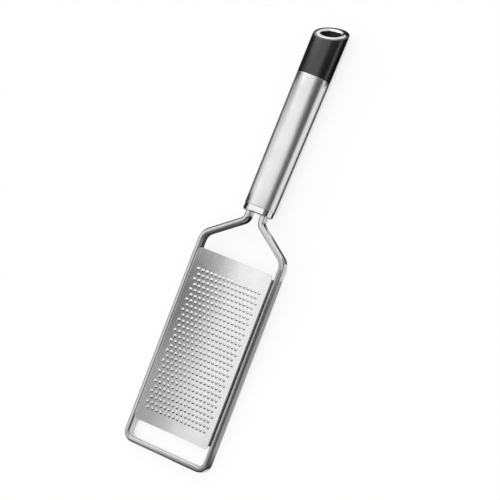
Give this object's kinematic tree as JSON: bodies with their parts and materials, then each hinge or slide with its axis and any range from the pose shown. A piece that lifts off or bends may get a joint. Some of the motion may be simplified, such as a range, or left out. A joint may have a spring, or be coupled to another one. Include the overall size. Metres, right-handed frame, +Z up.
{
  "type": "hand grater",
  "caption": "Hand-held fine grater: a dished sheet of punched teeth in a bent flat-bar loop, with a tapered round steel handle and a slanted black end cap with a hanging eye.",
  "frame": {"origin": "on the table, under the middle of the grater's length and width", "axes": "+X across the grater, +Y along the handle toward the hanging eye, +Z up out of the toothed face"},
  "size_m": [0.0728, 0.3252, 0.0248],
  "materials": {
    "satin_steel": "fine satin, ground along the handle",
    "polished_steel": "polished stainless steel",
    "sheet_steel": "satin sheet",
    "inner_steel": "plain, out of sight",
    "black_plastic": "satin moulded"
  },
  "bodies": {
    "root": {"grating_plate": "sheet_steel", "frame_loop": "polished_steel", "handle_tube": "satin_steel", "ferrule": "polished_steel", "leg_anchor": "inner_steel", "end_cap": "black_plastic", "eyelet_ring": "polished_steel"}
  },
  "joints": []
}
